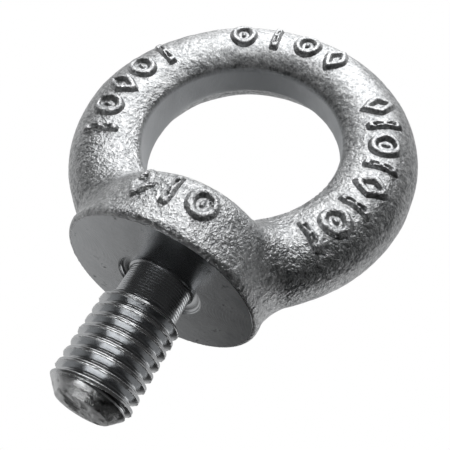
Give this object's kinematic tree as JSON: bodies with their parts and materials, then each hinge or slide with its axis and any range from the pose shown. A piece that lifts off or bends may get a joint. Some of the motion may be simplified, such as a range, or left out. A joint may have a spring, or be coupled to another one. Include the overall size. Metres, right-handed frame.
{
  "type": "eye bolt",
  "caption": "Forged lifting eye bolt: a round eye on a collar with a flat turned seat, and a threaded shank below.",
  "frame": {"origin": "centre of the seat face, on the thread axis", "axes": "+Z along the thread axis towards the eye, +Y along the eye's bore, away from the marked front face"},
  "size_m": [0.0548, 0.0304, 0.0742],
  "materials": {
    "forged_steel": "shot-blasted forged steel, zinc plated",
    "turned_steel": "turned steel, zinc plated",
    "thread_steel": "threaded steel, zinc plated"
  },
  "bodies": {
    "root": {"eye_ring": "forged_steel", "collar": "forged_steel", "ring_marks": "forged_steel", "collar_marks": "forged_steel", "turned_seat": "turned_steel", "thread_relief": "turned_steel", "threaded_shank": "thread_steel", "shank_tip": "thread_steel"}
  },
  "joints": []
}
